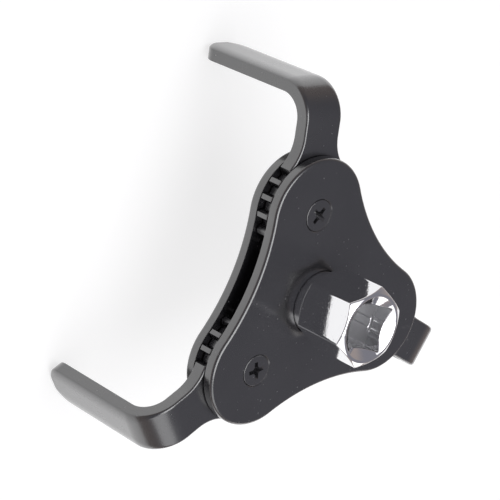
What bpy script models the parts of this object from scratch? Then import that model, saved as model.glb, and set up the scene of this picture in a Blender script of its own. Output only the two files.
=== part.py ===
"""Three-leg, two-way oil filter wrench, standing on its leg tips with the drive socket on top.

The drive turns about Z. Its sun gear meshes with a toothed sector on each leg between two
three-lobed plates, so turning the drive either way swings the three legs in or out together.
Z = 0 is the plane of the leg tips and the Z axis is the drive axis.
"""

import math

import bmesh
import bpy
from mathutils import Matrix, Vector

MM = 0.001

# Driving dimensions
LEG_COUNT = 3
PIVOT_RADIUS = 27.0 * MM       # drive axis to each leg's pivot
HEAD_HEIGHT = 50.3 * MM        # leg tips to the front face of the front plate
PLATE_THICKNESS = 3.25 * MM
PLATE_SPACING = 4.8 * MM       # between the two plates
LEG_THICKNESS = 4.2 * MM
LEG_REACH = 36.5 * MM          # pivot to the outer face of the gripping bar
STRAP_WIDTH = 13.1 * MM
DRIVE_SQUARE = 12.8 * MM       # half-inch female square
DRIVE_HEX = 21.0 * MM          # across flats
DRIVE_HEIGHT = 21.5 * MM       # front plate to the end of the hexagon
CLEARANCE = 0.3 * MM           # left between pieces that touch
RUNNING_CLEARANCE = 0.1 * MM   # round pieces that turn in or on each other

# Plates
LOBE_RADIUS = 16.5 * MM
WAIST_ARC_RADIUS = 62.0 * MM   # hollow curve between two lobes
EDGE_ROLL = 1.0 * MM           # rounding of a stamped outer edge

# Gears: module = 2 x centre distance / sum of the teeth
LEG_GEAR_TEETH = 20
SUN_GEAR_TEETH = 15
GEAR_LASH = 0.5 * MM
PRESSURE_ANGLE = math.radians(20.0)
ADDENDUM_FACTOR = 0.66
DEDENDUM_FACTOR = 0.92
FIRST_TOOTH = 3                # teeth 0 to 2 on each side are merged into the strap
TOOTH_FLANK_POINTS = 4

# Where the legs stand at rest, from straight outwards; the lash lets the first one differ
MESH_SWING = math.radians(-10.05)
REST_SWING = [math.radians(-9.3), math.radians(-10.8), math.radians(-10.8)]

# Legs
BEND_OUTER_RADIUS = 11.0 * MM
FLARE_RADIUS = 12.0 * MM       # where the strap widens into the toothed disc
TIP_ROUNDING = 4.8 * MM

# Pivot pins and their screws
PIN_RADIUS = 6.0 * MM
PIN_SPIGOT_RADIUS = 4.0 * MM
PIN_HEAD_RADIUS = 5.2 * MM
PIN_HEAD_DEPTH = 1.2 * MM
SCREW_HEAD_RADIUS = 4.6 * MM
SCREW_HEAD_DEPTH = 2.3 * MM
SCREW_HEAD_RIM = 0.15 * MM     # straight part of the head's edge
SCREW_RIM_GAP = 0.45 * MM      # between the head and the mouth of its seat
SCREW_SINK = 0.05 * MM         # head below the plate's face
SCREW_RADIUS = 2.5 * MM
SCREW_LENGTH = 9.0 * MM
RECESS_SPAN = 5.4 * MM         # cross recess, tip to tip
RECESS_WIDTH = 1.15 * MM
RECESS_DEPTH = 1.9 * MM
RECESS_TAPER = 0.45

# Drive
DRIVE_TURN = math.radians(5.4)  # direction of a flat and of a side of the square
HEX_LIFT = 3.2 * MM             # front plate to the rear end of the hexagon
HEX_CHAMFER_RADIUS = 10.1 * MM  # circle that the end chamfer leaves on the end face
HEX_CHAMFER_SLOPE = math.tan(math.radians(32.0))
NECK_RADIUS = 9.4 * MM
NECK_HOLE_RIM = 0.2 * MM        # chamfer round the neck's hole
GEAR_SQUARE = 11.0 * MM         # square that carries the sun gear
JOURNAL_RADIUS = 5.2 * MM       # runs in the rear plate
GROOVE_RADIUS = 4.5 * MM
SOCKET_DEPTH = 17.0 * MM
SOCKET_MOUTH_RADIUS = 9.5 * MM
SOCKET_MOUTH_SLOPE = math.tan(math.radians(34.0))
DETENT_GROOVE_RADIUS = 6.93 * MM  # turned groove that holds the driver's spring ball
DETENT_GROOVE_WIDTH = 1.2 * MM
DETENT_FROM_END = 6.4 * MM
WASHER_THICKNESS = 0.8 * MM
WASHER_RADIUS = 8.6 * MM
RING_RADIUS = 7.2 * MM
RING_THICKNESS = 1.0 * MM
RING_OPENING = math.radians(50.0)

# Fineness of round shapes
TURN_STEPS = 40
SMALL_TURN_STEPS = 32
LOBE_STEPS = 14
WAIST_STEPS = 10
BEND_STEPS = 8
FLARE_STEPS = 5
EDGE_ROLL_STEPS = 4
DETENT_GROOVE_STEPS = 6
SHARP_ANGLE = math.radians(25.0)

# Heights
FRONT_FACE = HEAD_HEIGHT
FRONT_PLATE_LOW = FRONT_FACE - PLATE_THICKNESS
REAR_PLATE_HIGH = FRONT_PLATE_LOW - PLATE_SPACING
REAR_PLATE_LOW = REAR_PLATE_HIGH - PLATE_THICKNESS
LEG_LOW = REAR_PLATE_HIGH + (PLATE_SPACING - LEG_THICKNESS) / 2
LEG_HIGH = LEG_LOW + LEG_THICKNESS
HEX_LOW = FRONT_FACE + HEX_LIFT
DRIVE_TOP = FRONT_FACE + DRIVE_HEIGHT
WASHER_HIGH = REAR_PLATE_LOW - CLEARANCE
WASHER_LOW = WASHER_HIGH - WASHER_THICKNESS
RING_HIGH = WASHER_LOW - CLEARANCE
RING_LOW = RING_HIGH - RING_THICKNESS
JOURNAL_END = RING_LOW - 1.0 * MM

# Gear sizes
MODULE = 2 * PIVOT_RADIUS / (LEG_GEAR_TEETH + SUN_GEAR_TEETH)

BLACK_PAINT = ("black_paint", (0.055, 0.055, 0.06), 0.38, 0.0)
BLACK_SCREW = ("black_screw", (0.05, 0.05, 0.055), 0.35, 0.6)
CHROME = ("chrome", (0.78, 0.78, 0.8), 0.08, 1.0)
BARE_STEEL = ("bare_steel", (0.45, 0.44, 0.43), 0.35, 1.0)


def clear_scene():
    for thing in list(bpy.data.objects):
        bpy.data.objects.remove(thing)


def material(name, colour, roughness, metallic):
    found = bpy.data.materials.get(name)
    if found:
        return found
    made = bpy.data.materials.new(name)
    made.use_nodes = True
    shader = made.node_tree.nodes["Principled BSDF"]
    shader.inputs["Base Color"].default_value = (*colour, 1.0)
    shader.inputs["Roughness"].default_value = roughness
    shader.inputs["Metallic"].default_value = metallic
    return made


def add_piece(name, mesh, finish, location=(0, 0, 0), turn=0.0):
    mesh.materials.clear()
    mesh.materials.append(material(*finish))
    mesh.shade_smooth()
    mesh.set_sharp_from_angle(angle=SHARP_ANGLE)
    piece = bpy.data.objects.new(name, mesh)
    piece.location = location
    piece.rotation_euler.z = turn
    bpy.context.scene.collection.objects.link(piece)
    return piece


def cut(piece, cutter_mesh, location=(0, 0, 0), turn=0.0, operation="DIFFERENCE"):
    cutter = bpy.data.objects.new(cutter_mesh.name, cutter_mesh)
    cutter.location = location
    cutter.rotation_euler.z = turn
    cutter.hide_render = True
    cutter.display_type = "WIRE"
    bpy.context.scene.collection.objects.link(cutter)
    modifier = piece.modifiers.new(cutter_mesh.name, "BOOLEAN")
    modifier.operation = operation
    modifier.object = cutter


def finished_mesh(piece):
    """The piece's mesh with its modifiers applied, so that copies can share it."""
    bpy.context.view_layer.update()
    graph = bpy.context.evaluated_depsgraph_get()
    return bpy.data.meshes.new_from_object(piece.evaluated_get(graph))


def to_mesh(shape, name):
    bmesh.ops.recalc_face_normals(shape, faces=shape.faces)
    mesh = bpy.data.meshes.new(name)
    shape.to_mesh(mesh)
    shape.free()
    return mesh


def polar(radius, angle):
    return (radius * math.cos(angle), radius * math.sin(angle))


def arc(centre, radius, start, end, steps):
    """Points on an arc from the start angle to the end angle, both included."""
    points = []
    for step in range(steps + 1):
        x, y = polar(radius, start + (end - start) * step / steps)
        points.append((centre[0] + x, centre[1] + y))
    return points


def prism_shape(outline, low, high, low_scale=1.0):
    """A bmesh prism over an outline; low_scale draws its lower face in towards Z."""
    shape = bmesh.new()
    corners = [shape.verts.new((x, y, high)) for x, y in outline]
    face = shape.faces.new(corners)
    lower = bmesh.ops.extrude_face_region(shape, geom=[face])["geom"]
    moved = [item for item in lower if isinstance(item, bmesh.types.BMVert)]
    for corner in moved:
        corner.co.x *= low_scale
        corner.co.y *= low_scale
        corner.co.z = low
    return shape


def prism(name, outline, low, high, low_scale=1.0):
    return to_mesh(prism_shape(outline, low, high, low_scale), name)


def turned(name, profile, steps=TURN_STEPS):
    """A solid turned about Z from (radius, height) points; one that starts on the axis ends there."""
    shape = bmesh.new()
    corners = [shape.verts.new((radius, 0, height)) for radius, height in profile]
    pairs = list(zip(corners, corners[1:]))
    if profile[0][0] > 0:
        pairs.append((corners[-1], corners[0]))
    edges = [shape.edges.new(pair) for pair in pairs]
    bmesh.ops.spin(
        shape,
        geom=corners + edges,
        cent=(0, 0, 0),
        axis=(0, 0, 1),
        angle=2 * math.pi,
        steps=steps,
        use_merge=True,
    )
    bmesh.ops.remove_doubles(shape, verts=shape.verts, dist=0.001 * MM)
    return to_mesh(shape, name)


def ring(name, outer, inner, low, high, steps=TURN_STEPS):
    return turned(name, [(inner, high), (outer, high), (outer, low), (inner, low)], steps)


def cylinder(name, radius, low, high, steps=TURN_STEPS):
    return turned(name, [(0, high), (radius, high), (radius, low), (0, low)], steps)


def pivot_angle(index):
    return 2 * math.pi * index / LEG_COUNT


def pivot_place(index):
    return (*polar(PIVOT_RADIUS, pivot_angle(index)), 0)


def plate_outline():
    """Three lobes round the pivots, joined by hollow arcs that are tangent to them."""
    reach = LOBE_RADIUS + WAIST_ARC_RADIUS
    half = PIVOT_RADIUS / 2
    hollow_distance = half + math.sqrt(half**2 - PIVOT_RADIUS**2 + reach**2)
    points = []
    for index in range(LEG_COUNT):
        here = pivot_angle(index)
        lobe = polar(PIVOT_RADIUS, here)
        hollow = polar(hollow_distance, here + math.pi / LEG_COUNT)
        leave = math.atan2(hollow[1] - lobe[1], hollow[0] - lobe[0])
        half_lobe = (leave - here) % (2 * math.pi)
        points += arc(lobe, LOBE_RADIUS, here - half_lobe, here + half_lobe, LOBE_STEPS)
        arrive = leave + math.pi
        middle = here + math.pi / LEG_COUNT + math.pi
        sweep = 2 * ((middle - arrive + math.pi) % (2 * math.pi) - math.pi)
        points += arc(hollow, WAIST_ARC_RADIUS, arrive, arrive + sweep, WAIST_STEPS)[1:-1]
    return points


def plate_mesh(name, low, high, rolled_height):
    """A plate whose edge at rolled_height is rounded by the stamping."""
    shape = prism_shape(plate_outline(), low, high)
    rolled = [e for e in shape.edges if all(v.co.z == e.verts[0].co.z for v in e.verts)]
    rolled = [e for e in rolled if abs(e.verts[0].co.z - rolled_height) < CLEARANCE]
    bmesh.ops.bevel(
        shape,
        geom=rolled,
        offset=EDGE_ROLL,
        segments=EDGE_ROLL_STEPS,
        profile=0.5,
        affect="EDGES",
    )
    return to_mesh(shape, name)


def make_front_plate():
    mesh = plate_mesh("front_plate", FRONT_PLATE_LOW, FRONT_FACE, FRONT_FACE)
    plate = add_piece("front_plate", mesh, BLACK_PAINT)
    over = FRONT_FACE + CLEARANCE
    under = FRONT_PLATE_LOW - CLEARANCE
    neck_fit = NECK_RADIUS + RUNNING_CLEARANCE
    neck_rim = neck_fit + NECK_HOLE_RIM
    neck_hole = turned(
        "neck_hole",
        [
            (0, over),
            (neck_rim, over),
            (neck_rim, FRONT_FACE),
            (neck_fit, FRONT_FACE - NECK_HOLE_RIM),
            (neck_fit, under),
            (0, under),
        ],
    )
    cut(plate, neck_hole)
    hole = SCREW_RADIUS + CLEARANCE
    mouth = SCREW_HEAD_RADIUS + SCREW_RIM_GAP
    seat = turned(
        "screw_seat",
        [
            (0, over),
            (mouth, over),
            (mouth, FRONT_FACE),
            (hole, FRONT_FACE - (mouth - hole)),
            (hole, under),
            (0, under),
        ],
        SMALL_TURN_STEPS,
    )
    for index in range(LEG_COUNT):
        cut(plate, seat, pivot_place(index))


def make_rear_plate():
    mesh = plate_mesh("rear_plate", REAR_PLATE_LOW, REAR_PLATE_HIGH, REAR_PLATE_LOW)
    plate = add_piece("rear_plate", mesh, BLACK_PAINT)
    over = REAR_PLATE_HIGH + CLEARANCE
    under = REAR_PLATE_LOW - CLEARANCE
    cut(plate, cylinder("journal_hole", JOURNAL_RADIUS + RUNNING_CLEARANCE, under, over))
    hole = PIN_SPIGOT_RADIUS + CLEARANCE
    mouth = PIN_HEAD_RADIUS + CLEARANCE
    rim = REAR_PLATE_LOW + CLEARANCE / 2
    seat = turned(
        "pin_seat",
        [
            (0, over),
            (hole, over),
            (hole, rim + PIN_HEAD_DEPTH),
            (mouth, rim),
            (mouth, under),
            (0, under),
        ],
        SMALL_TURN_STEPS,
    )
    for index in range(LEG_COUNT):
        cut(plate, seat, pivot_place(index))


def involute(angle):
    return math.tan(angle) - angle


def tooth_half_angle(teeth, radius):
    """Half the angle that a tooth takes up at this radius."""
    pitch = MODULE * teeth / 2
    base = pitch * math.cos(PRESSURE_ANGLE)
    slope = math.acos(min(1.0, base / radius))
    at_pitch = math.pi / (2 * teeth) - GEAR_LASH / 4 / pitch
    return at_pitch + involute(PRESSURE_ANGLE) - involute(slope)


def flank(teeth, tooth, side):
    """Points up one side of a tooth, side -1 being the one that comes first anticlockwise."""
    pitch = MODULE * teeth / 2
    root = pitch - DEDENDUM_FACTOR * MODULE
    tip = pitch + ADDENDUM_FACTOR * MODULE
    centre = 2 * math.pi * tooth / teeth
    points = []
    for step in range(TOOTH_FLANK_POINTS):
        radius = root + (tip - root) * step / (TOOTH_FLANK_POINTS - 1)
        points.append(polar(radius, centre + side * tooth_half_angle(teeth, radius)))
    return points


def tooth_outline(teeth, tooth):
    return flank(teeth, tooth, -1) + flank(teeth, tooth, 1)[::-1]


def leg_outline():
    """The flat blank in the leg's own frame: pivot at the origin, strap along +X."""
    half = STRAP_WIDTH / 2
    last = LEG_GEAR_TEETH - FIRST_TOOTH + 1
    down = flank(LEG_GEAR_TEETH, FIRST_TOOTH - 1, 1)[::-1]
    corner_x, corner_y = down[0]
    rise = corner_y - half
    flare_x = corner_x + math.sqrt(2 * FLARE_RADIUS * rise - rise**2)
    flare_end = math.atan2(corner_y - half - FLARE_RADIUS, corner_x - flare_x)
    flare = arc(
        (flare_x, half + FLARE_RADIUS), FLARE_RADIUS, -math.pi / 2, flare_end, FLARE_STEPS
    )
    upper = [(LEG_REACH - BEND_OUTER_RADIUS, half)] + flare[:-1] + down
    teeth = []
    for tooth in range(FIRST_TOOTH, last):
        teeth += tooth_outline(LEG_GEAR_TEETH, tooth)
    lower = [(x, -y) for x, y in reversed(upper)]
    return upper + teeth + lower


def bend_down(shape):
    """Carries the strap's open end round the bend and down to the tip."""
    bend_x = LEG_REACH - BEND_OUTER_RADIUS
    end = max(shape.faces, key=lambda face: face.calc_center_median().x)
    rim = list(end.edges)
    corners = list(end.verts)
    bmesh.ops.delete(shape, geom=[end], context="FACES_ONLY")
    bent = bmesh.ops.spin(
        shape,
        geom=corners + rim,
        cent=(bend_x, 0, LEG_HIGH - BEND_OUTER_RADIUS),
        axis=(0, 1, 0),
        angle=math.pi / 2,
        steps=BEND_STEPS,
    )["geom_last"]
    rim = [item for item in bent if isinstance(item, bmesh.types.BMEdge)]
    bar = bmesh.ops.extrude_edge_only(shape, edges=rim)["geom"]
    for item in bar:
        if isinstance(item, bmesh.types.BMVert):
            item.co.z = 0
    rim = [item for item in bar if isinstance(item, bmesh.types.BMEdge)]
    bmesh.ops.edgeloop_fill(shape, edges=rim)
    tip_corners = [
        edge
        for edge in shape.edges
        if all(v.co.z == 0 for v in edge.verts)
        and abs(edge.verts[0].co.y - edge.verts[1].co.y) < CLEARANCE
    ]
    bmesh.ops.bevel(
        shape, geom=tip_corners, offset=TIP_ROUNDING, segments=5, profile=0.5, affect="EDGES"
    )


def make_legs():
    shape = prism_shape(leg_outline(), LEG_LOW, LEG_HIGH)
    bend_down(shape)
    blank = add_piece("leg_blank", to_mesh(shape, "leg_blank"), BLACK_PAINT)
    hole = cylinder(
        "pin_hole",
        PIN_RADIUS + RUNNING_CLEARANCE,
        LEG_LOW - CLEARANCE,
        LEG_HIGH + CLEARANCE,
        SMALL_TURN_STEPS,
    )
    cut(blank, hole)
    mesh = finished_mesh(blank)
    bpy.data.objects.remove(blank)
    bpy.data.objects.remove(bpy.data.objects[hole.name])
    for index in range(LEG_COUNT):
        turn = pivot_angle(index) + REST_SWING[index]
        add_piece(f"leg_{index + 1}", mesh, BLACK_PAINT, pivot_place(index), turn)


def make_pins():
    """Shouldered pins that hold the plates apart; the rear end is peened into the rear plate."""
    bore = SCREW_RADIUS + CLEARANCE
    head_low = REAR_PLATE_LOW + CLEARANCE / 2
    profile = [
        (bore, LEG_HIGH),
        (PIN_RADIUS, LEG_HIGH),
        (PIN_RADIUS, LEG_LOW),
        (PIN_SPIGOT_RADIUS, LEG_LOW),
        (PIN_SPIGOT_RADIUS, head_low + PIN_HEAD_DEPTH),
        (PIN_HEAD_RADIUS, head_low + CLEARANCE / 2),
        (PIN_HEAD_RADIUS, head_low),
        (bore, head_low),
    ]
    mesh = turned("pivot_pin", profile, SMALL_TURN_STEPS)
    for index in range(LEG_COUNT):
        add_piece(f"pivot_pin_{index + 1}", mesh, BARE_STEEL, pivot_place(index))


def cross_outline():
    half_span = RECESS_SPAN / 2
    half_width = RECESS_WIDTH / 2
    wing = [(half_span, -half_width), (half_span, half_width), (half_width, half_width)]
    points = []
    for quarter in range(4):
        turn = Matrix.Rotation(quarter * math.pi / 2, 3, "Z")
        points += [(turn @ Vector((x, y, 0)))[:2] for x, y in wing]
    return points


def make_screws():
    """Countersunk screws with a cross recess, which clamp the front plate to the pins."""
    top = FRONT_FACE - SCREW_SINK
    profile = [
        (0, top),
        (SCREW_HEAD_RADIUS, top),
        (SCREW_HEAD_RADIUS, top - SCREW_HEAD_RIM),
        (SCREW_RADIUS, top - SCREW_HEAD_DEPTH),
        (SCREW_RADIUS, top - SCREW_LENGTH),
        (0, top - SCREW_LENGTH),
    ]
    blank = add_piece("screw_blank", turned("screw", profile, SMALL_TURN_STEPS), BLACK_SCREW)
    recess = prism(
        "recess", cross_outline(), top - RECESS_DEPTH, top + CLEARANCE, RECESS_TAPER
    )
    cut(blank, recess)
    mesh = finished_mesh(blank)
    bpy.data.objects.remove(blank)
    bpy.data.objects.remove(bpy.data.objects[recess.name])
    for index in range(LEG_COUNT):
        add_piece(f"front_screw_{index + 1}", mesh, BLACK_SCREW, pivot_place(index))


def square_outline(side):
    half = side / 2
    return [(half, -half), (half, half), (-half, half), (-half, -half)]


def hexagon_outline(across_flats):
    corner = across_flats / math.sqrt(3)
    return [polar(corner, math.pi / 6 + math.pi / 3 * index) for index in range(6)]


def drive_envelope():
    """Turned outline that chamfers both ends of the hexagon."""
    outer = DRIVE_HEX / math.sqrt(3) + CLEARANCE
    fall = (outer - HEX_CHAMFER_RADIUS) * HEX_CHAMFER_SLOPE
    return turned(
        "drive_envelope",
        [
            (0, DRIVE_TOP),
            (HEX_CHAMFER_RADIUS, DRIVE_TOP),
            (outer, DRIVE_TOP - fall),
            (outer, HEX_LOW + fall),
            (HEX_CHAMFER_RADIUS, HEX_LOW),
            (0, HEX_LOW),
        ],
    )


def drive_shank():
    """Neck through the front plate, and the grooved journal that runs in the rear plate."""
    shoulder = LEG_HIGH + CLEARANCE
    overlap = HEX_LOW + CLEARANCE
    return turned(
        "drive_shank",
        [
            (0, overlap),
            (NECK_RADIUS, overlap),
            (NECK_RADIUS, shoulder),
            (JOURNAL_RADIUS, shoulder),
            (JOURNAL_RADIUS, RING_HIGH + CLEARANCE / 2),
            (GROOVE_RADIUS, RING_HIGH + CLEARANCE / 2),
            (GROOVE_RADIUS, RING_LOW - CLEARANCE / 2),
            (JOURNAL_RADIUS, RING_LOW - CLEARANCE / 2),
            (JOURNAL_RADIUS, JOURNAL_END),
            (0, JOURNAL_END),
        ],
    )


def socket_mouth():
    """Countersink at the mouth of the square, which bows the edges of its sides."""
    over = DRIVE_TOP + CLEARANCE
    mouth = SOCKET_MOUTH_RADIUS + CLEARANCE / SOCKET_MOUTH_SLOPE
    bottom = DRIVE_SQUARE / 2 - CLEARANCE
    low = over - (mouth - bottom) * SOCKET_MOUTH_SLOPE
    return turned("socket_mouth", [(0, over), (mouth, over), (bottom, low), (0, low)])


def detent_groove():
    """A turned groove, which cuts a shallow lens into the middle of each side of the square."""
    middle = DRIVE_TOP - DETENT_FROM_END
    mouth = DRIVE_SQUARE / 2
    deep = DETENT_GROOVE_RADIUS - mouth
    profile = [(0, middle + DETENT_GROOVE_WIDTH / 2)]
    for step in range(DETENT_GROOVE_STEPS + 1):
        radius, height = polar(1, math.pi / 2 - math.pi * step / DETENT_GROOVE_STEPS)
        profile.append((mouth + deep * radius, middle + DETENT_GROOVE_WIDTH / 2 * height))
    profile.append((0, middle - DETENT_GROOVE_WIDTH / 2))
    return turned("detent_groove", profile)


def make_drive_socket():
    body = prism("drive_socket", hexagon_outline(DRIVE_HEX), HEX_LOW, DRIVE_TOP)
    socket = add_piece("drive_socket", body, CHROME, turn=DRIVE_TURN)
    cut(socket, drive_envelope(), turn=DRIVE_TURN, operation="INTERSECT")
    cut(socket, drive_shank(), turn=DRIVE_TURN, operation="UNION")
    gear_square = prism(
        "gear_square",
        square_outline(GEAR_SQUARE),
        LEG_LOW,
        LEG_HIGH + 2 * CLEARANCE,
    )
    cut(socket, gear_square, turn=DRIVE_TURN, operation="UNION")
    bottom = DRIVE_TOP - SOCKET_DEPTH
    square = prism("square_hole", square_outline(DRIVE_SQUARE), bottom, DRIVE_TOP + CLEARANCE)
    cut(socket, square, turn=DRIVE_TURN)
    cut(socket, socket_mouth(), turn=DRIVE_TURN)
    cut(socket, detent_groove(), turn=DRIVE_TURN)


def sun_gear_turn():
    """Turn that puts a gap of the sun gear opposite the leg tooth nearest the first contact."""
    leg_pitch = 2 * math.pi / LEG_GEAR_TEETH
    sun_pitch = 2 * math.pi / SUN_GEAR_TEETH
    offset = (MESH_SWING + math.pi) % leg_pitch
    return sun_pitch / 2 - offset * LEG_GEAR_TEETH / SUN_GEAR_TEETH


def make_sun_gear():
    outline = []
    for tooth in range(SUN_GEAR_TEETH):
        outline += tooth_outline(SUN_GEAR_TEETH, tooth)
    mesh = prism("sun_gear", outline, LEG_LOW, LEG_HIGH)
    gear = add_piece("sun_gear", mesh, BARE_STEEL, turn=sun_gear_turn())
    bore = prism(
        "gear_bore",
        square_outline(GEAR_SQUARE + 2 * CLEARANCE),
        LEG_LOW - CLEARANCE,
        LEG_HIGH + CLEARANCE,
    )
    cut(gear, bore, turn=DRIVE_TURN)


def make_washer():
    mesh = ring(
        "rear_washer", WASHER_RADIUS, JOURNAL_RADIUS + CLEARANCE, WASHER_LOW, WASHER_HIGH
    )
    add_piece("rear_washer", mesh, BARE_STEEL)


def make_retaining_ring():
    start = math.pi + RING_OPENING / 2
    end = 3 * math.pi - RING_OPENING / 2
    outer = arc((0, 0), RING_RADIUS, start, end, TURN_STEPS)
    inner = arc((0, 0), GROOVE_RADIUS + CLEARANCE, end, start, TURN_STEPS)
    mesh = prism("retaining_ring", outer + inner, RING_LOW, RING_HIGH)
    add_piece("retaining_ring", mesh, BARE_STEEL)


def main():
    clear_scene()
    make_front_plate()
    make_rear_plate()
    make_legs()
    make_pins()
    make_screws()
    make_drive_socket()
    make_sun_gear()
    make_washer()
    make_retaining_ring()


main()
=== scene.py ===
"""Looks for the three-leg oil filter wrench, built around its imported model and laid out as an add-on."""

import math

import bmesh
import bpy
from bpy.props import FloatProperty, FloatVectorProperty, IntProperty, PointerProperty
from mathutils import Matrix, Vector


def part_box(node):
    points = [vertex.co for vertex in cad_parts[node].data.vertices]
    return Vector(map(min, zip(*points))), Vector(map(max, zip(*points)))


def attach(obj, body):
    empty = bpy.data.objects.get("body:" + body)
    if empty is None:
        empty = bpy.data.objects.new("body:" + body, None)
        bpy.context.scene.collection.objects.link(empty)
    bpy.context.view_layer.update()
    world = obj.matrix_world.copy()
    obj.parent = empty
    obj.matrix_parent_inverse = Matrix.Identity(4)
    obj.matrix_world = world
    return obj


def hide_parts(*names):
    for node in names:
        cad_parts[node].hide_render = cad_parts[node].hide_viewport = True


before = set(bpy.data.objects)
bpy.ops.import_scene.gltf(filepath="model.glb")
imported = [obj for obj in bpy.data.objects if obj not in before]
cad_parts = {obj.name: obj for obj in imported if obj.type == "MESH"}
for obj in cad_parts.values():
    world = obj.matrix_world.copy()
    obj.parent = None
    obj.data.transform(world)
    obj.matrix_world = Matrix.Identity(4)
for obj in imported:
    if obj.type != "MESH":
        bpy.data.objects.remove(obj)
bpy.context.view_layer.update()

bl_info = {
    "name": "Oil filter wrench",
    "version": (1, 0, 0),
    "blender": (4, 5, 0),
    "location": "3D View > Sidebar > Wrench",
    "description": "Builds a three-leg oil filter wrench and its studio round the packed model",
    "category": "Object",
}

MM = 0.001

# Head
LEG_COUNT = 3
PIVOT_RADIUS = 27.0 * MM
LOBE_RADIUS = 16.5 * MM
WAIST_ARC_RADIUS = 62.0 * MM
NECK_HOLE_RADIUS = 9.5 * MM
NECK_HOLE_CHAMFER = 0.2 * MM
JOURNAL_HOLE_RADIUS = 5.4 * MM
REST_SWING = (math.radians(-9.3), math.radians(-10.8), math.radians(-10.8))

# Gears
LEG_GEAR_TEETH = 20
SUN_GEAR_TEETH = 15
GEAR_LASH = 0.5 * MM
PRESSURE_ANGLE = math.radians(20.0)
ADDENDUM_FACTOR = 0.66
DEDENDUM_FACTOR = 0.92
MODULE = 2 * PIVOT_RADIUS / (LEG_GEAR_TEETH + SUN_GEAR_TEETH)
FIRST_TOOTH = 3
TOOTH_FLANK_POINTS = 7

# Legs
LEG_REACH = 36.5 * MM
LEG_THICKNESS = 4.2 * MM
STRAP_WIDTH = 13.1 * MM
BEND_OUTER_RADIUS = 11.0 * MM
FLARE_RADIUS = 12.0 * MM
TIP_ROUNDING = 4.8 * MM
REAR_EDGE = 0.25 * MM
PIN_HOLE_RADIUS = 6.1 * MM
TOOTH_ROLL_SHARE = 0.35
TIP_EDGE_ROUNDING = 0.35 * MM

# How far a cutter reaches past the face that it cuts
CUT_MARGIN = 1.0 * MM

# Screws and pins
SCREW_HEAD_RADIUS = 4.6 * MM
SCREW_RADIUS = 2.5 * MM
SCREW_LENGTH = 9.0 * MM
SCREW_HEAD_DEPTH = 2.3 * MM
SCREW_HEAD_ROUNDING = 0.25 * MM
SCREW_CLEARANCE = 0.3 * MM
SEAT_EDGE = 0.1 * MM
SEAT_RADIUS = 4.85 * MM
PIN_SPIGOT_HOLE = 4.3 * MM
RECESS_DEPTH = 2.0 * MM
RECESS_WIDTH = 1.15 * MM
RECESS_THROAT = 0.75 * MM
RECESS_OVER = 0.3 * MM
RECESS_OVER_SCALE = 1.06
RECESS_FOOT_SCALE = 0.4
FIRST_SCREW_TURN = 20
NEXT_SCREW_TURN = 50
PIN_HEAD_RADIUS = 5.2 * MM
PIN_HEAD_DEPTH = 1.2 * MM
PIN_HEAD_CLEARANCE = 0.2 * MM

# Drive
DRIVE_TURN = math.radians(5.4)
DRIVE_HEX = 21.0 * MM
DRIVE_SQUARE = 12.8 * MM
HEX_LIFT = 3.2 * MM
HEX_CORNER_BLEND = 0.35 * MM
HEX_CHAMFER_BLEND = 0.3 * MM
HEX_END_ZONE = 1.7 * MM
HEX_CHAMFER_RADIUS = 10.1 * MM
HEX_CHAMFER_SLOPE = math.tan(math.radians(32.0))
NECK_RADIUS = 9.4 * MM
JOURNAL_RADIUS = 5.2 * MM
JOURNAL_BEVEL = 0.5 * MM
NECK_DEPTH = 3.2 * MM
NECK_FOOT_BEVEL = 0.2 * MM
SOCKET_DEPTH = 17.0 * MM
SOCKET_CORNER_BLEND = 0.45 * MM
SOCKET_MOUTH_BLEND = 0.1 * MM
SOCKET_MOUTH_RADIUS = 9.5 * MM
SOCKET_MOUTH_SLOPE = math.tan(math.radians(34.0))
DETENT_GROOVE_RADIUS = 6.93 * MM
DETENT_GROOVE_WIDTH = 1.2 * MM
DETENT_FROM_END = 6.4 * MM

# Fineness
LOBE_STEPS = 44
WAIST_STEPS = 36
ROLL_STEPS = 7
TURN_STEPS = 96
SMALL_TURN_STEPS = 48
HEX_END_STEPS = 18
HEX_MIDDLE_STEPS = 6
MOUTH_STEPS = 24
DRIVE_COLUMNS = 240
GROOVE_STEPS = 12
SHARP_ANGLE = math.radians(35.0)

# Camera, as a view of the standing tool
CAMERA_AZIMUTH = math.radians(-96.486)
CAMERA_ELEVATION = math.radians(43.324)
CAMERA_ROLL = math.radians(116.413)
CAMERA_DISTANCE = 609.87 * MM
CAMERA_TARGET = Vector((-9.770, 5.794, 27.014)) * MM
CAMERA_LENS = 153.1
CAMERA_SENSOR = 36.0

# Stage: each softbox as name, azimuth and elevation in degrees, width, height, share of brightness
HEAD_MIDDLE = 51.5 * MM
SOFTBOX_DISTANCE = 0.8
SOFTBOXES = (
    ("overhead_softbox", 200.0, 84.0, 0.64, 0.64, 1.0),
    ("side_softbox", -84.0, 46.0, 0.5, 0.6, 0.4),
    ("low_softbox", -38.0, 12.0, 0.3, 0.26, 0.4),
    ("far_softbox", 102.0, 66.0, 0.34, 0.3, 0.34),
)
FLOOR_RADIUS = 0.42
FLOOR_OWN_WHITE = 0.74
FLOOR_GAP = 0.3 * MM
FLOOR_STEPS = 96
CEILING_STARTS = 0.2
CEILING_FULL = 0.6


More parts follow.
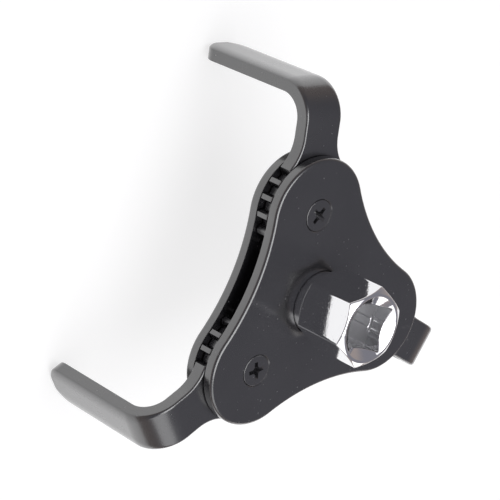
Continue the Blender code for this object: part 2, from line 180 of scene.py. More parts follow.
class WrenchShape(bpy.types.PropertyGroup):
    edge_roll: FloatProperty(
        name="Plate edge roll",
        description="Radius of the rounded outer edge of the plates",
        default=1.0 * MM,
        min=0.2 * MM,
        max=1.6 * MM,
        unit="LENGTH",
    )
    leg_roll: FloatProperty(
        name="Leg edge roll",
        description="Radius of the rounded front edges of the legs",
        default=0.7 * MM,
        min=0.2 * MM,
        max=1.5 * MM,
        unit="LENGTH",
    )
    bar_roll: FloatProperty(
        name="Bar edge roll",
        description="Depth by which the outer edges of the gripping bars fall off",
        default=0.95 * MM,
        min=0.2 * MM,
        max=2.0 * MM,
        unit="LENGTH",
    )
    bar_crown: FloatProperty(
        name="Bar crown",
        description="Width over which the outer edges of the gripping bars fall off",
        default=4.2 * MM,
        min=0.5 * MM,
        max=6.0 * MM,
        unit="LENGTH",
    )
    recess_span: FloatProperty(
        name="Screw recess span",
        description="Tip to tip width of the cross recess in a screw head",
        default=5.4 * MM,
        min=3.0 * MM,
        max=7.0 * MM,
        unit="LENGTH",
    )
    bend_steps: IntProperty(
        name="Bend steps",
        description="Number of segments round the bend of a leg",
        default=28,
        min=6,
        max=64,
    )


class WrenchLook(bpy.types.PropertyGroup):
    coat: FloatVectorProperty(
        name="Coating",
        description="Colour of the black coating on plates and legs",
        default=(0.011, 0.011, 0.0125),
        size=3,
        min=0.0,
        max=1.0,
        subtype="COLOR",
    )
    dust: FloatVectorProperty(
        name="Dust",
        description="Colour of the dust specks on the coating",
        default=(0.3, 0.3, 0.31),
        size=3,
        min=0.0,
        max=1.0,
        subtype="COLOR",
    )
    chrome: FloatVectorProperty(
        name="Chrome",
        description="Colour of the plated drive",
        default=(0.86, 0.86, 0.87),
        size=3,
        min=0.0,
        max=1.0,
        subtype="COLOR",
    )
    steel: FloatVectorProperty(
        name="Bare steel",
        description="Colour of the machined inner pieces",
        default=(0.36, 0.35, 0.34),
        size=3,
        min=0.0,
        max=1.0,
        subtype="COLOR",
    )


class WrenchStage(bpy.types.PropertyGroup):
    softbox: FloatProperty(
        name="Softbox",
        description="Brightness of the overhead softbox as it shows in a mirror",
        default=3.0,
        min=0.0,
        max=20.0,
    )
    ceiling: FloatVectorProperty(
        name="Ceiling",
        description="Colour of the dim room above the set",
        default=(0.215, 0.213, 0.245),
        size=3,
        min=0.0,
        max=1.0,
        subtype="COLOR",
    )
    walls: FloatVectorProperty(
        name="Walls",
        description="Colour of the dim room round the set, near the height of the bench",
        default=(0.34, 0.295, 0.285),
        size=3,
        min=0.0,
        max=1.0,
        subtype="COLOR",
    )
    floor: FloatVectorProperty(
        name="Floor",
        description="Colour of the floor",
        default=(0.36, 0.36, 0.36),
        size=3,
        min=0.0,
        max=1.0,
        subtype="COLOR",
    )


# Shapes


def polar(radius, angle):
    return (radius * math.cos(angle), radius * math.sin(angle))


def arc(centre, radius, start, end, steps):
    points = []
    for step in range(steps + 1):
        x, y = polar(radius, start + (end - start) * step / steps)
        points.append((centre[0] + x, centre[1] + y))
    return points


def pivot_angle(index):
    return 2 * math.pi * index / LEG_COUNT


def pivot_place(index):
    x, y = polar(PIVOT_RADIUS, pivot_angle(index))
    return Vector((x, y, 0))


def loft(rings, cap_ends=True, around=True):
    """A bmesh skin over rings of points; a cap is one flat face."""
    shape = bmesh.new()
    rows = [[shape.verts.new(point) for point in ring] for ring in rings]
    count = len(rows[0])
    last = count if around else count - 1
    for low, high in zip(rows, rows[1:]):
        for index in range(last):
            after = (index + 1) % count
            shape.faces.new((low[index], low[after], high[after], high[index]))
    if cap_ends:
        shape.faces.new(rows[0][::-1])
        shape.faces.new(rows[-1])
    return shape


def to_mesh(shape, name, merge=0.0005 * MM):
    bmesh.ops.remove_doubles(shape, verts=shape.verts, dist=merge)
    bmesh.ops.recalc_face_normals(shape, faces=shape.faces)
    mesh = bpy.data.meshes.new(name)
    shape.to_mesh(mesh)
    shape.free()
    return mesh


def turned(name, profile, steps=TURN_STEPS):
    """A solid turned about Z from (radius, height) points; off the axis at both ends it is a ring."""
    closed = profile[0][0] > 0
    rings = [
        [(*polar(radius, 2 * math.pi * step / steps), height) for step in range(steps)]
        for radius, height in profile
    ]
    if closed:
        rings.append(rings[0])
    return to_mesh(loft(rings, cap_ends=False), name)


def inset_outline(outline, amount, shares=None):
    """The outline moved inwards by the amount, corner by corner; shares scale it at each corner."""
    moved = []
    count = len(outline)
    for index, point in enumerate(outline):
        share = shares[index] if shares else 1.0
        here = Vector(point)
        before = (here - Vector(outline[index - 1])).normalized()
        after = (Vector(outline[(index + 1) % count]) - here).normalized()
        normal = Vector((-before.y, before.x)) + Vector((-after.y, after.x))
        normal.normalize()
        lean = max(0.5, normal.dot(Vector((-before.y, before.x))))
        moved.append(tuple(here + normal * (amount * share / lean)))
    return moved


def rounded_layers(low, high, low_round, high_round, steps):
    """(inset, height) pairs that round the lower and upper edges of a slab."""
    layers = []
    for step in range(3):
        turn = math.pi / 2 * step / 2
        layers.append((low_round * (1 - math.sin(turn)), low + low_round * (1 - math.cos(turn))))
    for step in range(steps + 1):
        turn = math.pi / 2 * step / steps
        layers.append(
            (high_round * (1 - math.cos(turn)), high - high_round * (1 - math.sin(turn)))
        )
    return layers


def slab(outline, layers):
    rings = []
    for inset, height in layers:
        rings.append([(x, y, height) for x, y in inset_outline(outline, inset)])
    return loft(rings)


def plate_outline():
    """Three lobes round the pivots, joined by hollow arcs that are tangent to them."""
    reach = LOBE_RADIUS + WAIST_ARC_RADIUS
    half = PIVOT_RADIUS / 2
    hollow_distance = half + math.sqrt(half**2 - PIVOT_RADIUS**2 + reach**2)
    points = []
    for index in range(LEG_COUNT):
        here = pivot_angle(index)
        lobe = polar(PIVOT_RADIUS, here)
        hollow = polar(hollow_distance, here + math.pi / LEG_COUNT)
        leave = math.atan2(hollow[1] - lobe[1], hollow[0] - lobe[0])
        half_lobe = (leave - here) % (2 * math.pi)
        points += arc(lobe, LOBE_RADIUS, here - half_lobe, here + half_lobe, LOBE_STEPS)
        arrive = leave + math.pi
        middle = here + math.pi / LEG_COUNT + math.pi
        sweep = 2 * ((middle - arrive + math.pi) % (2 * math.pi) - math.pi)
        points += arc(hollow, WAIST_ARC_RADIUS, arrive, arrive + sweep, WAIST_STEPS)[1:-1]
    return points


def involute(angle):
    return math.tan(angle) - angle


def tooth_half_angle(teeth, radius):
    pitch = MODULE * teeth / 2
    base = pitch * math.cos(PRESSURE_ANGLE)
    slope = math.acos(min(1.0, base / radius))
    at_pitch = math.pi / (2 * teeth) - GEAR_LASH / 4 / pitch
    return at_pitch + involute(PRESSURE_ANGLE) - involute(slope)


def flank(teeth, tooth, side):
    pitch = MODULE * teeth / 2
    root = pitch - DEDENDUM_FACTOR * MODULE
    tip = pitch + ADDENDUM_FACTOR * MODULE
    centre = 2 * math.pi * tooth / teeth
    points = []
    for step in range(TOOTH_FLANK_POINTS):
        radius = root + (tip - root) * step / (TOOTH_FLANK_POINTS - 1)
        points.append(polar(radius, centre + side * tooth_half_angle(teeth, radius)))
    return points


def tooth_outline(teeth, tooth):
    return flank(teeth, tooth, -1) + flank(teeth, tooth, 1)[::-1]


def leg_outline():
    """The flat blank in the leg's own frame, from one end of the strap round to the other.

    The second list says how much of the edge rounding each corner takes; the teeth take little.
    """
    half = STRAP_WIDTH / 2
    last = LEG_GEAR_TEETH - FIRST_TOOTH + 1
    down = flank(LEG_GEAR_TEETH, FIRST_TOOTH - 1, 1)[::-1]
    corner_x, corner_y = down[0]
    rise = corner_y - half
    flare_x = corner_x + math.sqrt(2 * FLARE_RADIUS * rise - rise**2)
    flare_end = math.atan2(corner_y - half - FLARE_RADIUS, corner_x - flare_x)
    flare = arc((flare_x, half + FLARE_RADIUS), FLARE_RADIUS, -math.pi / 2, flare_end, 18)
    upper = [(LEG_REACH - BEND_OUTER_RADIUS, half)] + flare[:-1] + down
    teeth = []
    for tooth in range(FIRST_TOOTH, last):
        teeth += tooth_outline(LEG_GEAR_TEETH, tooth)
    strap_share = [1.0] * (len(upper) - len(down)) + [TOOTH_ROLL_SHARE] * len(down)
    outline = upper + teeth + [(x, -y) for x, y in reversed(upper)]
    return outline, strap_share + [TOOTH_ROLL_SHARE] * len(teeth) + strap_share[::-1]


def strap_profile(thickness, roll, crown):
    """Cross-section of the strap as (sideways, lift) points.

    Its outer edges fall off over the crown's width by the roll's depth.
    """
    half = STRAP_WIDTH / 2
    layers = rounded_layers(0, thickness, REAR_EDGE, roll, ROLL_STEPS)
    top = thickness - roll
    outer = []
    for inset, lift in layers:
        wide = inset * crown / roll if lift > top else inset
        outer.append((half - wide, lift))
    return outer + [(-side, lift) for side, lift in reversed(outer)]


def leg_sections(low, high, roll, bar_roll, bar_crown, bend_steps):
    """Cross-sections of the strap, from the start of the bend round and down to the tip.

    The rounding of the outer edges grows round the bend, until the bar's face is crowned.
    """
    half = STRAP_WIDTH / 2
    thickness = high - low
    bend_x = LEG_REACH - BEND_OUTER_RADIUS
    bend_z = high - BEND_OUTER_RADIUS
    sections = []
    for step in range(bend_steps + 1):
        turn = math.pi / 2 * step / bend_steps
        share = (step / bend_steps) ** 2
        depth = roll + (bar_roll - roll) * share
        width = roll + (bar_crown - roll) * share
        ring = []
        for side, lift in strap_profile(thickness, depth, width):
            radius = BEND_OUTER_RADIUS - thickness + lift
            ring.append((bend_x + radius * math.sin(turn), side, bend_z + radius * math.cos(turn)))
        sections.append(ring)
    end_round = TIP_EDGE_ROUNDING
    stations = [bend_z * (1 - step / 6) + TIP_ROUNDING * step / 6 for step in range(1, 7)]
    for step in range(1, 13):
        stations.append(TIP_ROUNDING * math.cos(math.pi / 2 * step / 12))
    for station in stations:
        drop = max(0.0, TIP_ROUNDING - station)
        narrow = TIP_ROUNDING - math.sqrt(max(0.0, TIP_ROUNDING**2 - drop**2))
        thin = 0.0
        if station < end_round:
            thin = end_round - math.sqrt(end_round**2 - (end_round - station) ** 2)
        ring = []
        for side, lift in strap_profile(thickness, bar_roll, bar_crown):
            width = (half - narrow) / half
            depth = thickness / 2 + (lift - thickness / 2) * (1 - 2 * thin / thickness)
            radius = BEND_OUTER_RADIUS - thickness + depth
            ring.append((bend_x + radius, side * width, station))
        sections.append(ring)
    return sections


def leg_mesh(index, low, high, shape_settings):
    roll = shape_settings.leg_roll
    bar_roll = shape_settings.bar_roll
    bar_crown = shape_settings.bar_crown
    bend_steps = shape_settings.bend_steps
    layers = rounded_layers(low, high, REAR_EDGE, roll, ROLL_STEPS)
    outline, shares = leg_outline()
    end_x = outline[0][0]
    rings = []
    for inset, height in layers:
        ring = inset_outline(outline, inset, shares)
        ring[0] = (end_x, outline[0][1] - inset)
        ring[-1] = (end_x, outline[-1][1] + inset)
        rings.append([(x, y, height) for x, y in ring])
    shape = loft(rings, around=False)
    sections = leg_sections(low, high, roll, bar_roll, bar_crown, bend_steps)
    rows = [[shape.verts.new(point) for point in section] for section in sections]
    count = len(rows[0])
    for before, after in zip(rows, rows[1:]):
        for here in range(count):
            there = (here + 1) % count
            shape.faces.new((before[here], before[there], after[there], after[here]))
    shape.faces.new(rows[-1])
    mesh = to_mesh(shape, "leg_blank", 0.002 * MM)
    turn = pivot_angle(index) + REST_SWING[index]
    mesh.transform(Matrix.Translation(pivot_place(index)) @ Matrix.Rotation(turn, 4, "Z"))
    return mesh


def smooth_min(first, second, blend):
    """The smaller of two sizes, with the corner between them rounded off."""
    share = max(blend - abs(first - second), 0.0) / blend
    return min(first, second) - share * share * blend / 4


def smooth_max(first, second, blend):
    return -smooth_min(-first, -second, blend)


def polygon_radius(angle, sides, inradius, turn, blend):
    """Distance from the axis to the wall of a regular polygon in this direction, corners rounded."""
    sector = 2 * math.pi / sides
    local = (angle - turn + sector / 2) % sector - sector / 2
    here = inradius / math.cos(local)
    other = inradius / math.cos(sector - abs(local))
    if other < 0:
        return here
    return smooth_min(here, other, blend)


# Pieces


def add_piece(name, mesh, body, replaced, finish):
    mesh.materials.clear()
    mesh.materials.append(finish)
    mesh.shade_smooth()
    mesh.set_sharp_from_angle(angle=SHARP_ANGLE)
    piece = bpy.data.objects.new(name, mesh)
    bpy.context.scene.collection.objects.link(piece)
    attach(piece, body)
    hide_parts(*replaced)
    return piece


def cut_mesh(mesh, cutters, name):
    """The mesh with each cutter's volume removed."""
    block = bpy.data.objects.new("block", mesh)
    bpy.context.scene.collection.objects.link(block)
    tools = []
    for cutter, place in cutters:
        tool = bpy.data.objects.new("tool", cutter)
        tool.matrix_world = place
        bpy.context.scene.collection.objects.link(tool)
        modifier = block.modifiers.new("cut", "BOOLEAN")
        modifier.object = tool
        modifier.solver = "EXACT"
        tools.append(tool)
    bpy.context.view_layer.update()
    graph = bpy.context.evaluated_depsgraph_get()
    result = bpy.data.meshes.new_from_object(block.evaluated_get(graph))
    result.name = name
    for thing in [block, *tools]:
        bpy.data.objects.remove(thing)
    return result


def even_normals(piece):
    """Keeps flat faces flat where they run into rounded edges."""
    modifier = piece.modifiers.new("even_normals", "WEIGHTED_NORMAL")
    modifier.keep_sharp = True
    modifier.weight = 100


def heights(node):
    low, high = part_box(node)
    return low.z, high.z


def front_plate_mesh(roll):
    low, high = heights("front_plate")
    over = high + CUT_MARGIN
    under = low - CUT_MARGIN
    layers = rounded_layers(low, high, REAR_EDGE, roll, ROLL_STEPS)
    mesh = to_mesh(slab(plate_outline(), layers), "front_plate_look")
    wide = NECK_HOLE_RADIUS + NECK_HOLE_CHAMFER
    hole = turned(
        "neck_hole",
        [
            (0, over),
            (wide, over),
            (wide, high),
            (NECK_HOLE_RADIUS, high - NECK_HOLE_CHAMFER),
            (NECK_HOLE_RADIUS, under),
            (0, under),
        ],
    )
    through = SCREW_RADIUS + SCREW_CLEARANCE
    seat = turned(
        "screw_seat",
        [
            (0, over),
            (SEAT_RADIUS + SEAT_EDGE, over),
            (SEAT_RADIUS + SEAT_EDGE, high),
            (SEAT_RADIUS, high - SEAT_EDGE),
            (through, high - (SEAT_RADIUS - through)),
            (through, under),
            (0, under),
        ],
        SMALL_TURN_STEPS,
    )
    cutters = [(hole, Matrix.Identity(4))]
    for index in range(LEG_COUNT):
        cutters.append((seat, Matrix.Translation(pivot_place(index))))
    return cut_mesh(mesh, cutters, "front_plate_look")


def rear_plate_mesh(roll):
    low, high = heights("rear_plate")
    over = high + CUT_MARGIN
    under = low - CUT_MARGIN
    layers = [
        (inset, low + high - height)
        for inset, height in rounded_layers(low, high, REAR_EDGE, roll, ROLL_STEPS)
    ]
    mesh = to_mesh(slab(plate_outline(), layers[::-1]), "rear_plate_look")
    hole = turned(
        "journal_hole",
        [(0, over), (JOURNAL_HOLE_RADIUS, over), (JOURNAL_HOLE_RADIUS, under), (0, under)],
    )
    rim = low + SEAT_EDGE
    mouth = PIN_HEAD_RADIUS + PIN_HEAD_CLEARANCE
    seat = turned(
        "pin_seat",
        [
            (0, over),
            (PIN_SPIGOT_HOLE, over),
            (PIN_SPIGOT_HOLE, rim + PIN_HEAD_DEPTH),
            (mouth, rim),
            (mouth, under),
            (0, under),
        ],
        SMALL_TURN_STEPS,
    )
    cutters = [(hole, Matrix.Identity(4))]
    for index in range(LEG_COUNT):
        cutters.append((seat, Matrix.Translation(pivot_place(index))))
    return cut_mesh(mesh, cutters, "rear_plate_look")


def cross_cutter(top, span):
    """A tapering cross with a rounded middle, as a cross-head driver leaves."""
    width = RECESS_WIDTH
    throat = RECESS_THROAT
    rings = []
    for height, scale in ((RECESS_OVER, RECESS_OVER_SCALE), (-RECESS_DEPTH, RECESS_FOOT_SCALE)):
        outline = []
        for quarter in range(4):
            turn = quarter * math.pi / 2
            wing = [
                (span / 2, -width / 2),
                (span / 2, width / 2),
                (width / 2 + throat * 0.75, width / 2 + throat * 0.1),
                (width / 2 + throat * 0.1, width / 2 + throat * 0.75),
            ]
            for x, y in wing:
                radius = math.hypot(x, y) * scale
                outline.append((*polar(radius, math.atan2(y, x) + turn), top + height))
        rings.append(outline)
    return to_mesh(loft(rings), "cross")


def screw_mesh(span):
    top = heights("front_screw_1")[1]
    rim = SCREW_HEAD_ROUNDING
    profile = [(0, top)]
    for step in range(5):
        turn = math.pi / 2 * step / 4
        profile.append(
            (SCREW_HEAD_RADIUS - rim + rim * math.sin(turn), top - rim * 0.7 * (1 - math.cos(turn)))
        )
    profile += [
        (SCREW_RADIUS, top - SCREW_HEAD_DEPTH),
        (SCREW_RADIUS, top - SCREW_LENGTH),
        (0, top - SCREW_LENGTH),
    ]
    blank = turned("screw_blank", profile, 64)
    return cut_mesh(blank, [(cross_cutter(top, span), Matrix.Identity(4))], "screw_look")


def drive_ring(radius_at, height):
    ring = []
    for column in range(DRIVE_COLUMNS):
        angle = 2 * math.pi * column / DRIVE_COLUMNS + DRIVE_TURN
        ring.append((*polar(radius_at(angle), angle), height))
    return ring


def drive_mesh():
    low, high = heights("drive_socket")
    plate_top = heights("front_plate")[1]
    hex_low = plate_top + HEX_LIFT
    half_hex = DRIVE_HEX / 2
    half_square = DRIVE_SQUARE / 2

    def outer(height):
        def radius(angle):
            flat = polygon_radius(angle, 6, half_hex, DRIVE_TURN, HEX_CORNER_BLEND)
            top_cone = HEX_CHAMFER_RADIUS + (high - height) / HEX_CHAMFER_SLOPE
            low_cone = HEX_CHAMFER_RADIUS + (height - hex_low) / HEX_CHAMFER_SLOPE
            return smooth_min(flat, min(top_cone, low_cone), HEX_CHAMFER_BLEND)

        return radius

    def inner(height):
        def radius(angle):
            wall = polygon_radius(angle, 4, half_square, DRIVE_TURN, SOCKET_CORNER_BLEND)
            cone = SOCKET_MOUTH_RADIUS - (high - height) / SOCKET_MOUTH_SLOPE
            off = (height - (high - DETENT_FROM_END)) / (DETENT_GROOVE_WIDTH / 2)
            bulge = math.sqrt(max(0.0, 1 - off**2))
            groove = half_square + (DETENT_GROOVE_RADIUS - half_square) * bulge
            return max(smooth_max(wall, cone, SOCKET_MOUTH_BLEND), groove)

        return radius

    def round_at(size):
        return lambda angle: size

    rings = []
    neck_low = plate_top - NECK_DEPTH
    rings.append(drive_ring(round_at(JOURNAL_RADIUS - JOURNAL_BEVEL), low))
    rings.append(drive_ring(round_at(JOURNAL_RADIUS), low + JOURNAL_BEVEL))
    rings.append(drive_ring(round_at(JOURNAL_RADIUS), neck_low - NECK_FOOT_BEVEL))
    rings.append(drive_ring(round_at(NECK_RADIUS), neck_low))
    rings.append(drive_ring(round_at(NECK_RADIUS), hex_low))
    middle = high - hex_low - 2 * HEX_END_ZONE
    for step in range(HEX_END_STEPS + 1):
        height = hex_low + HEX_END_ZONE * step / HEX_END_STEPS
        rings.append(drive_ring(outer(height), height))
    for step in range(1, HEX_MIDDLE_STEPS):
        height = hex_low + HEX_END_ZONE + middle * step / HEX_MIDDLE_STEPS
        rings.append(drive_ring(outer(height), height))
    for step in range(HEX_END_STEPS + 1):
        height = high - HEX_END_ZONE * (1 - step / HEX_END_STEPS)
        rings.append(drive_ring(outer(height), height))
    cone_depth = (SOCKET_MOUTH_RADIUS - half_square + SOCKET_MOUTH_BLEND) * SOCKET_MOUTH_SLOPE
    for step in range(MOUTH_STEPS + 1):
        height = high - cone_depth * step / MOUTH_STEPS
        rings.append(drive_ring(inner(height), height))
    for step in range(GROOVE_STEPS + 1):
        lift = math.cos(math.pi * step / GROOVE_STEPS) * DETENT_GROOVE_WIDTH / 2
        height = high - DETENT_FROM_END + lift
        rings.append(drive_ring(inner(height), height))
    floor = high - SOCKET_DEPTH
    rings.append(drive_ring(inner(floor), floor))
    shape = loft(rings)
    return to_mesh(shape, "drive_look")


def in_socket(face, base, mouth):
    """Whether a face of the drive, above the base, is wall, groove or floor of the square."""
    centre = face.center
    reach = math.hypot(centre.x, centre.y)
    if reach > DRIVE_SQUARE or centre.z < base:
        return False
    if face.normal.z > 0.9:
        return reach < DRIVE_SQUARE / 2
    inward = -(face.normal.x * centre.x + face.normal.y * centre.y) / max(reach, 0.1 * MM)
    return inward > 0.95 or (inward > 0 and centre.z < mouth)


# Shader building


def new_material(name):
    made = bpy.data.materials.new(name)
    made.use_nodes = True
    tree = made.node_tree
    return made, tree, tree.nodes["Principled BSDF"]


def node_group(name, inputs, outputs):
    """A new shader group with its sockets; inputs map a name to (type, default)."""
    group = bpy.data.node_groups.new(name, "ShaderNodeTree")
    for label, (kind, default) in inputs.items():
        socket = group.interface.new_socket(name=label, in_out="INPUT", socket_type=kind)
        if default is not None:
            socket.default_value = default
    for label, kind in outputs.items():
        group.interface.new_socket(name=label, in_out="OUTPUT", socket_type=kind)
    start = group.nodes.new("NodeGroupInput")
    end = group.nodes.new("NodeGroupOutput")
    return group, start, end


def math_node(tree, operation, first, second=None, third=None, clamp=False):
    node = tree.nodes.new("ShaderNodeMath")
    node.operation = operation
    node.use_clamp = clamp
    for slot, value in enumerate((first, second, third)):
        if value is None:
            continue
        if isinstance(value, (int, float)):
            node.inputs[slot].default_value = value
        else:
            tree.links.new(value, node.inputs[slot])
    return node.outputs[0]


def smooth_step(tree, value, low, high):
    node = tree.nodes.new("ShaderNodeMapRange")
    node.interpolation_type = "SMOOTHSTEP"
    for name, item in (("Value", value), ("From Min", low), ("From Max", high)):
        if isinstance(item, (int, float)):
            node.inputs[name].default_value = item
        else:
            tree.links.new(item, node.inputs[name])
    return node.outputs[0]


def dust_group():
    """Small light specks of different sizes, scattered at random."""
    group, start, end = node_group(
        "Dust specks",
        {
            "Vector": ("NodeSocketVector", None),
            "Scale": ("NodeSocketFloat", 900.0),
            "Amount": ("NodeSocketFloat", 0.1),
            "Size": ("NodeSocketFloat", 0.25),
        },
        {"Mask": "NodeSocketFloat"},
    )
    cells = group.nodes.new("ShaderNodeTexVoronoi")
    group.links.new(start.outputs["Vector"], cells.inputs["Vector"])
    group.links.new(start.outputs["Scale"], cells.inputs["Scale"])
    parts = group.nodes.new("ShaderNodeSeparateColor")
    group.links.new(cells.outputs["Color"], parts.inputs["Color"])
    chosen = math_node(group, "LESS_THAN", parts.outputs[0], start.outputs["Amount"])
    radius = math_node(group, "MULTIPLY", parts.outputs[1], start.outputs["Size"])
    radius = math_node(group, "ADD", radius, 0.02)
    inside = math_node(group, "DIVIDE", cells.outputs["Distance"], radius)
    speck = math_node(group, "SUBTRACT", 1.0, smooth_step(group, inside, 0.5, 1.0))
    strength = math_node(group, "MULTIPLY", speck, parts.outputs[2])
    mask = math_node(group, "MULTIPLY", strength, chosen, clamp=True)
    group.links.new(mask, end.inputs["Mask"])
    return group


def mottle_group():
    """Soft uneven patches, large and small together."""
    group, start, end = node_group(
        "Soft mottling",
        {
            "Vector": ("NodeSocketVector", None),
            "Scale": ("NodeSocketFloat", 60.0),
            "Contrast": ("NodeSocketFloat", 1.0),
        },
        {"Value": "NodeSocketFloat"},
    )
    noise = group.nodes.new("ShaderNodeTexNoise")
    noise.inputs["Detail"].default_value = 7.0
    noise.inputs["Roughness"].default_value = 0.62
    group.links.new(start.outputs["Vector"], noise.inputs["Vector"])
    group.links.new(start.outputs["Scale"], noise.inputs["Scale"])
    centred = math_node(group, "SUBTRACT", noise.outputs[0], 0.5)
    scaled = math_node(group, "MULTIPLY", centred, start.outputs["Contrast"])
    value = math_node(group, "ADD", scaled, 0.5, clamp=True)
    group.links.new(value, end.inputs["Value"])
    return group


def grain_group():
    """Height of the fine skin of a sprayed or plated surface."""
    group, start, end = node_group(
        "Skin grain",
        {
            "Vector": ("NodeSocketVector", None),
            "Scale": ("NodeSocketFloat", 1500.0),
            "Waviness": ("NodeSocketFloat", 0.3),
        },
        {"Height": "NodeSocketFloat"},
    )
    fine = group.nodes.new("ShaderNodeTexNoise")
    fine.inputs["Detail"].default_value = 2.0
    group.links.new(start.outputs["Vector"], fine.inputs["Vector"])
    group.links.new(start.outputs["Scale"], fine.inputs["Scale"])
    coarse = group.nodes.new("ShaderNodeTexNoise")
    coarse.inputs["Detail"].default_value = 1.0
    slow = math_node(group, "MULTIPLY", start.outputs["Scale"], 0.15)
    group.links.new(start.outputs["Vector"], coarse.inputs["Vector"])
    group.links.new(slow, coarse.inputs["Scale"])
    wave = math_node(group, "MULTIPLY", coarse.outputs[0], start.outputs["Waviness"])
    height = math_node(group, "ADD", fine.outputs[0], wave)
    group.links.new(height, end.inputs["Height"])
    return group


def scuff_group():
    """Thin broken scratches that run mostly one way."""
    group, start, end = node_group(
        "Scuff marks",
        {
            "Vector": ("NodeSocketVector", None),
            "Scale": ("NodeSocketFloat", 220.0),
            "Amount": ("NodeSocketFloat", 0.2),
        },
        {"Mask": "NodeSocketFloat"},
    )
    stretch = group.nodes.new("ShaderNodeMapping")
    stretch.inputs["Rotation"].default_value = (0.3, 0.5, 0.9)
    stretch.inputs["Scale"].default_value = (0.12, 1.0, 1.0)
    group.links.new(start.outputs["Vector"], stretch.inputs["Vector"])
    lines = group.nodes.new("ShaderNodeTexNoise")
    lines.inputs["Detail"].default_value = 3.0
    group.links.new(stretch.outputs[0], lines.inputs["Vector"])
    group.links.new(start.outputs["Scale"], lines.inputs["Scale"])
    patches = group.nodes.new("ShaderNodeTexNoise")
    group.links.new(start.outputs["Vector"], patches.inputs["Vector"])
    patches.inputs["Scale"].default_value = 55.0
    near = math_node(group, "ABSOLUTE", math_node(group, "SUBTRACT", lines.outputs[0], 0.5))
    line = math_node(group, "SUBTRACT", 1.0, smooth_step(group, near, 0.001, 0.006))
    edge = math_node(group, "SUBTRACT", 0.8, start.outputs["Amount"])
    top = math_node(group, "ADD", edge, 0.08)
    place = smooth_step(group, patches.outputs[0], edge, top)
    mask = math_node(group, "MULTIPLY", line, place, clamp=True)
    group.links.new(mask, end.inputs["Mask"])
    return group


class Groups:
    """The shared shader groups, made once."""

    made = {}

    @classmethod
    def get(cls, name):
        makers = {
            "dust": dust_group,
            "mottle": mottle_group,
            "grain": grain_group,
            "scuff": scuff_group,
        }
        if name not in cls.made:
            cls.made[name] = makers[name]()
        return cls.made[name]


def use_group(tree, name, place, **values):
    node = tree.nodes.new("ShaderNodeGroup")
    node.node_tree = Groups.get(name)
    tree.links.new(place, node.inputs["Vector"])
    for label, value in values.items():
        node.inputs[label].default_value = value
    return node.outputs[0]


def object_place(tree):
    return tree.nodes.new("ShaderNodeTexCoord").outputs["Object"]


def mix_colour(tree, share, first, second):
    node = tree.nodes.new("ShaderNodeMix")
    node.data_type = "RGBA"
    sockets = [s for s in node.inputs if s.type == "RGBA"]
    factor = [s for s in node.inputs if s.type == "VALUE"][0]
    for socket, value in ((factor, share), (sockets[0], first), (sockets[1], second)):
        if isinstance(value, bpy.types.NodeSocket):
            tree.links.new(value, socket)
        elif isinstance(value, (int, float)):
            socket.default_value = value
        else:
            socket.default_value = (*value, 1.0)
    return [s for s in node.outputs if s.type == "RGBA"][0]


def add_bump(tree, shader, height, distance, strength, coat=False):
    bump = tree.nodes.new("ShaderNodeBump")
    bump.inputs["Strength"].default_value = strength
    bump.inputs["Distance"].default_value = distance
    tree.links.new(height, bump.inputs["Height"])
    tree.links.new(bump.outputs["Normal"], shader.inputs["Normal"])
    if coat:
        tree.links.new(bump.outputs["Normal"], shader.inputs["Coat Normal"])


def black_coat(name, look, roughness=0.3, dust_amount=0.1):
    made, tree, shader = new_material(name)
    place = object_place(tree)
    patches = use_group(tree, "mottle", place, Scale=45.0, Contrast=1.2)
    dust = use_group(tree, "dust", place, Scale=800.0, Amount=dust_amount, Size=0.24)
    scuffs = use_group(tree, "scuff", place, Scale=260.0, Amount=0.18)
    lighter = tuple(min(1.0, part * 1.7 + 0.002) for part in look.coat)
    colour = mix_colour(tree, patches, tuple(look.coat), lighter)
    colour = mix_colour(tree, math_node(tree, "MULTIPLY", scuffs, 0.5), colour, (0.1, 0.1, 0.1))
    colour = mix_colour(tree, dust, colour, tuple(look.dust))
    tree.links.new(colour, shader.inputs["Base Color"])
    spread = math_node(tree, "MULTIPLY", patches, 0.1)
    rough = math_node(tree, "ADD", spread, roughness - 0.05)
    rough = math_node(tree, "MULTIPLY_ADD", dust, 0.4, rough, clamp=True)
    tree.links.new(rough, shader.inputs["Roughness"])
    shader.inputs["IOR"].default_value = 1.8
    shader.inputs["Coat Weight"].default_value = 1.0
    shader.inputs["Coat IOR"].default_value = 1.7
    shader.inputs["Coat Roughness"].default_value = roughness * 0.8
    grain = use_group(tree, "grain", place, Scale=1400.0, Waviness=1.0)
    add_bump(tree, shader, grain, 0.02 * MM, 0.35)
    return made


def chrome_plate(name, look):
    made, tree, shader = new_material(name)
    place = object_place(tree)
    smears = use_group(tree, "mottle", place, Scale=120.0, Contrast=1.4)
    pits = use_group(tree, "dust", place, Scale=1500.0, Amount=0.35, Size=0.3)
    dull = tuple(part * 0.8 for part in look.chrome)
    colour = mix_colour(tree, math_node(tree, "MULTIPLY", pits, 0.5), tuple(look.chrome), dull)
    tree.links.new(colour, shader.inputs["Base Color"])
    shader.inputs["Metallic"].default_value = 1.0
    rough = math_node(tree, "MULTIPLY_ADD", smears, 0.06, 0.03)
    tree.links.new(rough, shader.inputs["Roughness"])
    grain = use_group(tree, "grain", place, Scale=1500.0, Waviness=0.5)
    height = math_node(tree, "MULTIPLY_ADD", pits, -1.2, grain)
    add_bump(tree, shader, height, 0.02 * MM, 0.55)
    return made


